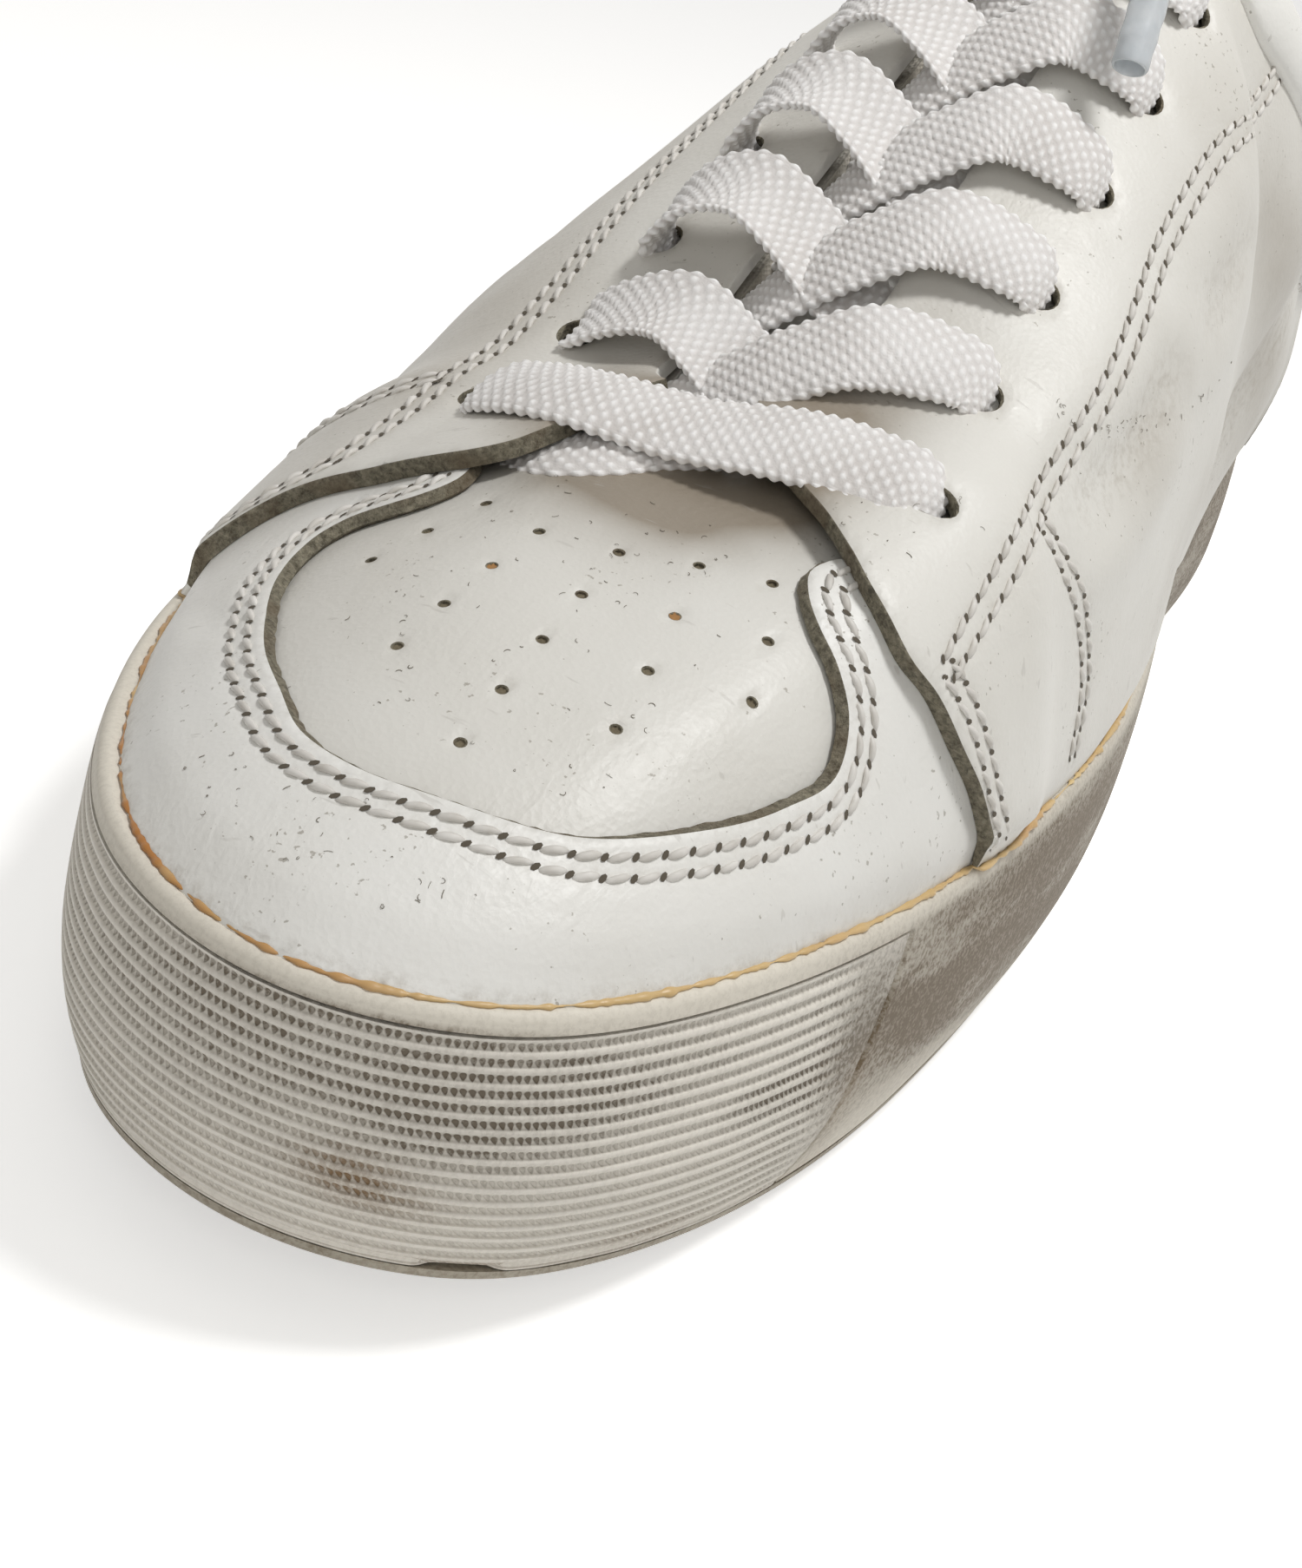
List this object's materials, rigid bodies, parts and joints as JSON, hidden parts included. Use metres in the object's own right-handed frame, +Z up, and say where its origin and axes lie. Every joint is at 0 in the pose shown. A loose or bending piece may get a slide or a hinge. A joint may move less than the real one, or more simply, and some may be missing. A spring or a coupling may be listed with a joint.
{
  "type": "sneaker",
  "caption": "Worn white low-top leather court sneaker for the right foot, laced, with a rubber cup sole and a ribbed toe bumper.",
  "frame": {"origin": "middle of the bounding box, on the ground under the sole, measured without the lace end and its tip", "axes": "+Y from the toe (-Y) to the heel (+Y), +Z up, +X to the medial side of this right shoe, when the toe points to -Y"},
  "size_m": [0.0987, 0.284, 0.1353],
  "materials": {
    "outsole_rubber": "matt, dirty off-white",
    "wall_rubber": "matt off-white with grey-brown dirt",
    "ribbed_rubber": "fine ribs with dirt in the grooves",
    "insole_cloth": "worn cloth",
    "white_leather": "smooth, creased and scuffed, with raw grey-brown cut edges",
    "tongue_leather": "smooth",
    "white_lace": "coarse flat weave",
    "lace_end_cotton": "coarse flat weave",
    "clear_tip": "translucent bluish-white tube"
  },
  "bodies": {
    "root": {"outsole": "outsole_rubber", "foxing": "wall_rubber", "toe_bumper": "ribbed_rubber", "insole": "insole_cloth", "upper": "white_leather", "tongue": "tongue_leather", "lace_bar_1": "white_lace", "lace_crossing_2": "white_lace", "lace_crossing_3": "white_lace", "lace_crossing_4": "white_lace", "lace_crossing_5": "white_lace", "lace_crossing_6": "white_lace", "lace_end_medial": "lace_end_cotton", "lace_tip_medial": "clear_tip"}
  },
  "joints": []
}
